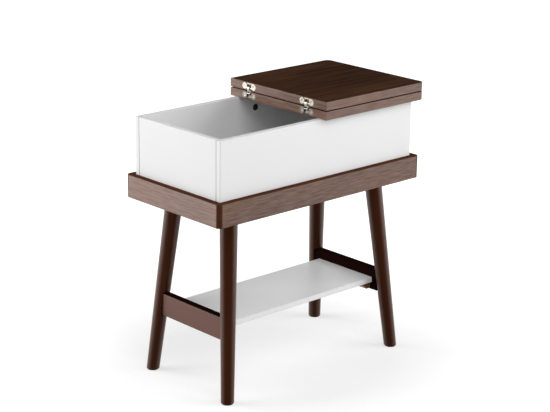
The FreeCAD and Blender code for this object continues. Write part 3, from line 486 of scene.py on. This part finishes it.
def edge_marks(name, shortest, reach):
    """Marks the sharp edges to break. Within reach of the hinge line they are only the long ones of
    the outline, so that the edges of the hinge mortises stay as they are."""
    tree = bpy.data.node_groups.new(name, "GeometryNodeTree")
    for way in ("INPUT", "OUTPUT"):
        tree.interface.new_socket("Geometry", in_out=way, socket_type="NodeSocketGeometry")

    def node(kind, *inputs, **settings):
        made = tree.nodes.new(kind)
        for key, value in settings.items():
            setattr(made, key, value)
        for socket, value in zip(made.inputs, inputs):
            if isinstance(value, bpy.types.NodeSocket):
                tree.links.new(value, socket)
            else:
                socket.default_value = value
        return made.outputs

    def math_node(operation, *values):
        return node("ShaderNodeMath", *values, operation=operation)["Value"]

    ends = node("GeometryNodeInputMeshEdgeVertices")
    length = node("ShaderNodeVectorMath", ends["Position 1"], ends["Position 2"],
                  operation="DISTANCE")["Value"]
    angle = node("GeometryNodeInputMeshEdgeAngle")["Signed Angle"]
    place = node("ShaderNodeSeparateXYZ", node("GeometryNodeInputPosition")["Position"])["X"]
    clear = math_node("MAXIMUM", math_node("GREATER_THAN", length, OUTLINE_LENGTH),
                      math_node("GREATER_THAN", math_node("ABSOLUTE", place), reach))
    broken = math_node("MULTIPLY", math_node("GREATER_THAN", length, shortest),
                       math_node("GREATER_THAN", angle, SHARP_EDGE))
    shape = node("NodeGroupInput")["Geometry"]
    store = tree.nodes.new("GeometryNodeStoreNamedAttribute")
    store.data_type, store.domain = "FLOAT", "EDGE"
    store.inputs["Name"].default_value = "bevel_weight_edge"
    tree.links.new(shape, store.inputs["Geometry"])
    tree.links.new(math_node("MULTIPLY", broken, clear), store.inputs["Value"])
    node("NodeGroupOutput", store.outputs["Geometry"])
    return tree


edge_groups = {}
for slot, (_, shortest) in BEVELS.items():
    reach = HINGE_REACH if slot == "leaf_wood" else NO_REACH
    edge_groups[slot] = edge_marks(slot + "_edges", shortest, reach)


def break_edges(item, slot):
    """Takes the sharpness off a node's edges, as sanding and lacquer do."""
    item.modifiers.new("Weld", "WELD").merge_threshold = WELD
    item.modifiers.new("Marks", "NODES").node_group = edge_groups[slot]
    bevel = item.modifiers.new("Edges", "BEVEL")
    bevel.width, _ = BEVELS[slot]
    bevel.segments = BEVEL_SEGMENTS
    bevel.limit_method = "WEIGHT"
    item.modifiers.new("Shading", "WEIGHTED_NORMAL").keep_sharp = True


# Some slots have a finish for each side of the table or each half of a hinge
slots = {row["node"]: row["material_slot"] for row in frame["record"]["subparts"]}
for name, item in nodes.items():
    slot = slots[name]
    finish_name = slot
    # Each stretcher has its own finish, for the painted shade on its inner face
    if slot == "stretcher_wood":
        finish_name = name
    # Each hinge half has its own finish, for the painted shade on the fixed halves
    if slot == "hinge_casting":
        finish_name = name.rsplit("_", 1)[0]
    if slot == "rail_wood":
        finish_name = "rail_wood_x" if name in ("rail_front", "rail_rear") else "rail_wood_y"
    item.material_slots[0].material = finishes[finish_name]
    if slot in BEVELS:
        break_edges(item, slot)

# Screws: head profiles are radius and depth, and the recess is a share of the head's radius
SCREW_SIDES = 20
THREAD_STEPS = 3
SHARP_ANGLE = 0.7
RECESS_REACH_SHARE = 0.52
RECESS_ARM_SHARE = 0.13
RECESS_DEPTH_SHARE = 0.42
SUNK_SCREW = {
    "profile": [(0.0033, 0.0), (0.0034, 0.0001), (0.00175, 0.00165), (0.0013, 0.0022)],
    "shank": 0.00175, "core": 0.0012, "pitch": 0.0016,
}
PAN_SCREW = {
    "profile": [(0.0026, 0.0), (0.0035, 0.0003), (0.00393, 0.0010), (0.004, 0.0018),
                (0.004, 0.0025), (0.0015, 0.0025)],
    "shank": 0.002, "core": 0.0014, "pitch": 0.002,
}


def solids(node):
    """Lowest and highest corners of each solid in a node."""
    shape = bmesh.new()
    shape.from_mesh(nodes[node].data)
    bmesh.ops.remove_doubles(shape, verts=shape.verts, dist=WELD)
    waiting = set(shape.verts)
    corners = []
    for start in shape.verts:
        if start not in waiting:
            continue
        waiting.remove(start)
        reached = [start]
        for vert in reached:
            for edge in vert.link_edges:
                other = edge.other_vert(vert)
                if other in waiting:
                    waiting.remove(other)
                    reached.append(other)
        corners.append([Vector([pick(vert.co[axis] for vert in reached) for axis in (X, Y, Z)])
                        for pick in (min, max)])
    shape.free()
    return corners


def cross(reach, arm):
    """Corners of a cross, in order round its middle."""
    corners = []
    points = [(reach, -arm), (reach, arm), (arm, arm)]
    for _ in range(4):
        corners += points
        points = [(-v, u) for u, v in points]
    return corners


def thread(radius, core, pitch):
    """Radius of a screw thread at a place along the screw and a share of a turn."""
    def at(depth, turn):
        phase = (depth / pitch - turn) % 1.0
        return core + (radius - core) * (1.0 - abs(2.0 * phase - 1.0)) ** 2
    return at


def add_screw(shape, low, high, axis, profile, shank, core, pitch):
    """A screw with a cross recess. Its head looks back along the axis, from the lowest face."""
    middle = (low + high) / 2
    length = high[axis] - low[axis]
    across, beside = (axis + 1) % 3, (axis + 2) % 3
    head = (high[across] - low[across]) / 2

    def vert(u, v, depth):
        place = middle.copy()
        place[axis] = low[axis] + depth
        place[across] += u
        place[beside] += v
        return shape.verts.new(place)

    def ring(depth, radius_at):
        turns = [side / SCREW_SIDES for side in range(SCREW_SIDES)]
        return [vert(radius_at(depth, turn) * math.cos(math.tau * turn),
                     radius_at(depth, turn) * math.sin(math.tau * turn), depth) for turn in turns]

    def loop(verts):
        pairs = zip(verts, verts[1:] + verts[:1])
        return [shape.edges.get(pair) or shape.edges.new(pair) for pair in pairs]

    rings = [ring(depth, lambda *place, radius=radius: radius) for radius, depth in profile]
    start = profile[-1][1]
    steps = int((length - shank - start) / pitch * THREAD_STEPS)
    ridge = thread(shank, core, pitch)
    rings += [ring(start + step * pitch / THREAD_STEPS, ridge) for step in range(steps + 1)]
    for upper, lower in zip(rings, rings[1:]):
        for side in range(SCREW_SIDES):
            shape.faces.new((upper[side - 1], upper[side], lower[side], lower[side - 1]))
    tip = vert(0.0, 0.0, length)
    for side in range(SCREW_SIDES):
        shape.faces.new((rings[-1][side - 1], rings[-1][side], tip))
    recess = cross(RECESS_REACH_SHARE, RECESS_ARM_SHARE)
    rim = [vert(u * head, v * head, 0.0) for u, v in recess]
    bottom = vert(0.0, 0.0, head * RECESS_DEPTH_SHARE)
    edges = loop(rings[0]) + loop(rim)
    bmesh.ops.triangle_fill(shape, edges=edges, use_beauty=True)
    for corner, following in zip(rim, rim[1:] + rim[:1]):
        shape.faces.new((corner, following, bottom))


def screws(node, axis, sizes):
    """Screws with threads and driver recesses in place of a node of plain ones."""
    shape = bmesh.new()
    for low, high in solids(node):
        add_screw(shape, low, high, axis, **sizes)
    bmesh.ops.recalc_face_normals(shape, faces=shape.faces)
    mesh = bpy.data.meshes.new(node + "_threaded")
    shape.to_mesh(mesh)
    shape.free()
    mesh.shade_smooth()
    mesh.set_sharp_from_angle(angle=SHARP_ANGLE)
    mesh.materials.append(finishes[slots[node]])
    item = bpy.data.objects.new(mesh.name, mesh)
    scene.collection.objects.link(item)
    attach(item, nodes[node]["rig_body"])
    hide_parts(node)


for node in ("hinge_screws_fixed", "hinge_screws_flip"):
    screws(node, X, SUNK_SCREW)
for node in ("plate_screws", "box_screws", "shelf_screws"):
    screws(node, Z, PAN_SCREW)

# Floor, with a white that the camera and reflections see and that keeps the table's shadow
FLOOR_REACH = 40.0
FLOOR_DROP = 0.0003
FLOOR_TONES = (grey(0.45), grey(0.46))
WHITE_FLOOR_REACH = 5.0
FLOOR_GLOW = ((0.05, 0.58), (0.14, 0.95), (0.7, 1.0))
PURE_WHITE = opaque(grey(1.0))
corners = [(-FLOOR_REACH, -FLOOR_REACH, 0), (FLOOR_REACH, -FLOOR_REACH, 0),
           (FLOOR_REACH, FLOOR_REACH, 0), (-FLOOR_REACH, FLOOR_REACH, 0)]
ground = bpy.data.meshes.new("floor")
ground.from_pydata(corners, [], [(0, 1, 2, 3)])
floor = bpy.data.objects.new("floor", ground)
floor.location.z = -FLOOR_DROP
scene.collection.objects.link(floor)
paper = Finish("floor_paper", Roughness=0.9, Specular_IOR_Level=0.0, Emission_Color=PURE_WHITE)
paper.feed(paper.shader.inputs["Base Color"],
           paper.ramp(paper.noise(**PAPER), *zip(PATTERN_RANGE, FLOOR_TONES)))
away = paper.node("VectorMath", {0: paper.sources["Object"]}, operation="LENGTH").outputs["Value"]
far = paper.spread(away, 0.0, WHITE_FLOOR_REACH, 0.0, 1.0)
glow = paper.ramp(far, *((place, grey(level)) for place, level in FLOOR_GLOW))
paper.feed(paper.shader.inputs["Emission Strength"],
           paper.math("MULTIPLY", paper.seen_rays(), glow))
ground.materials.append(paper.material)

# World: a soft ambient light and a white backdrop
AMBIENT = 0.16
world = bpy.data.worlds.new("studio")
scene.world = world
room = Shading(world)
background = room.tree.nodes["Background"]
background.inputs["Color"].default_value = PURE_WHITE
room.feed(background.inputs["Strength"], room.math("MAXIMUM", AMBIENT, room.seen_rays()))


def soft_box(name, place, aim, width, height, power):
    """A rectangular lamp at a place, turned towards another."""
    lamp = bpy.data.lights.new(name, "AREA")
    lamp.shape = "RECTANGLE"
    lamp.size = width
    lamp.size_y = height
    lamp.energy = power
    item = bpy.data.objects.new(name, lamp)
    item.location = place
    item.rotation_euler = (Vector(aim) - Vector(place)).to_track_quat("-Z", "Y").to_euler()
    scene.collection.objects.link(item)


soft_box("left_box", place=(-2.6, 2.8, 1.9), aim=(0.0, 0.0, 1.9),
         width=3.2, height=3.7, power=171.0)
soft_box("right_box", place=(2.6, -2.8, 1.9), aim=(0.0, 0.0, 1.9),
         width=2.8, height=3.7, power=113.0)
soft_box("top_box", place=(-1.0, -2.1, 2.4), aim=(0.0, 0.0, 0.5),
         width=2.2, height=2.2, power=34.0)

# Camera, as fitted to the photograph: its own directions and its place
CAMERA_RIGHT = (0.73661, -0.67623, 0.01083)
CAMERA_UP = (0.19211, 0.22457, 0.95533)
CAMERA_BACK = (-0.64846, -0.70163, 0.29533)
CAMERA_PLACE = (-2.2892, -2.4751, 1.3930)
view = bpy.data.cameras.new("camera")
view.sensor_fit = "HORIZONTAL"
view.sensor_width = 36.0
view.lens = 106.694
view.clip_end = 100.0
camera = bpy.data.objects.new("camera", view)
camera.matrix_world = Matrix([*zip(CAMERA_RIGHT, CAMERA_UP, CAMERA_BACK, CAMERA_PLACE),
                              (0.0, 0.0, 0.0, 1.0)])
scene.collection.objects.link(camera)
scene.camera = camera
scene.view_settings.view_transform = "Standard"
